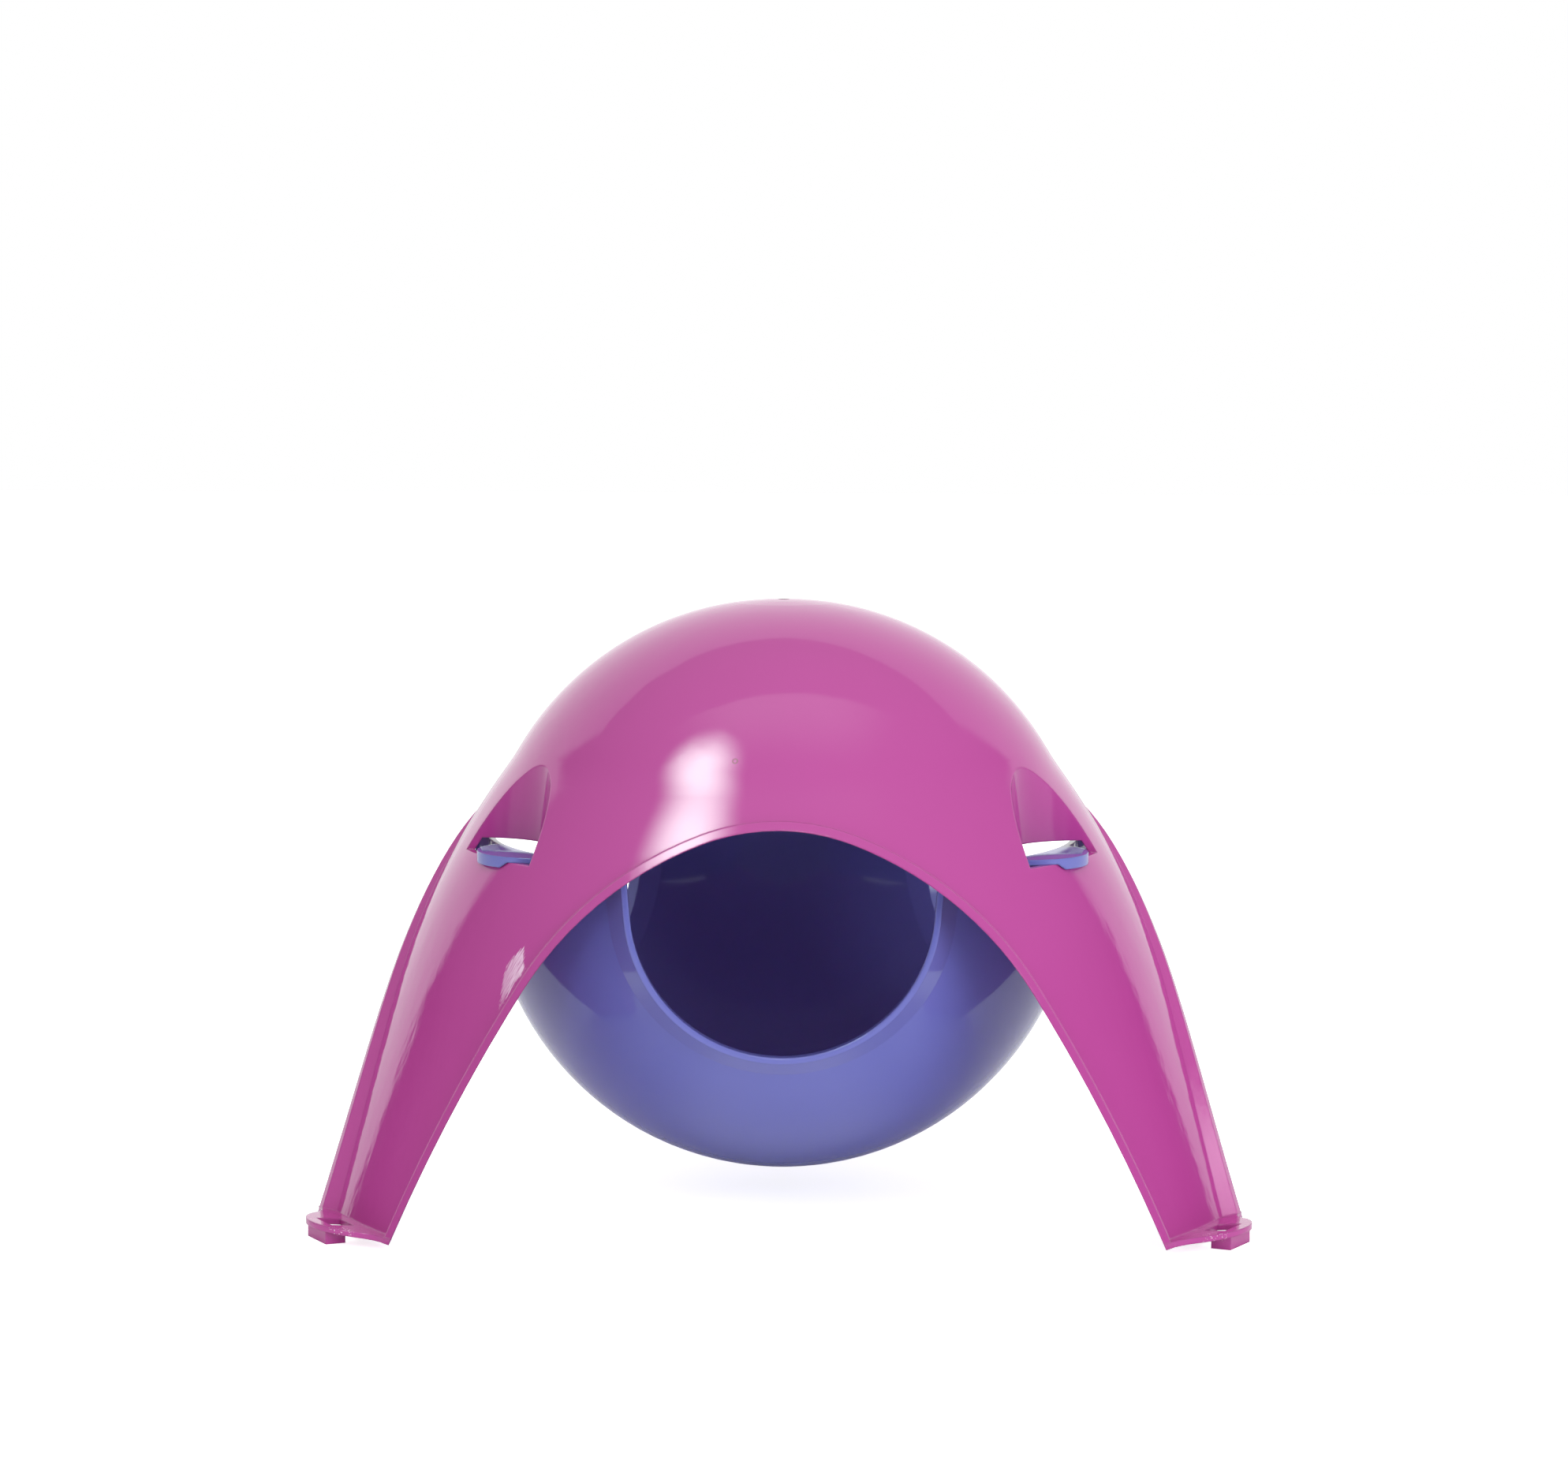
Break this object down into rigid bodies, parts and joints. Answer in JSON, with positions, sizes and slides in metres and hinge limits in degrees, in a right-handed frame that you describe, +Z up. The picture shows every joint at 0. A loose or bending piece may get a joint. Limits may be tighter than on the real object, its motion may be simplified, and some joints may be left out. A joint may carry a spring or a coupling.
{
  "type": "rodent igloo",
  "caption": "Domed nest house for a small rodent: a roof standing on arched legs with a round open bowl that hangs inside it.",
  "frame": {"origin": "on the vertical axis of the dome and bowl, at the level the feet stand on", "axes": "+Z up along the axis of the dome, -Y to the front through the middle of one arch and mouth, +X to the right seen from the front"},
  "size_m": [0.1922, 0.1746, 0.1267],
  "materials": {
    "roof_plastic": "gloss",
    "bowl_plastic": "gloss"
  },
  "bodies": {
    "root": {"roof": "roof_plastic", "bowl": "bowl_plastic"}
  },
  "joints": []
}
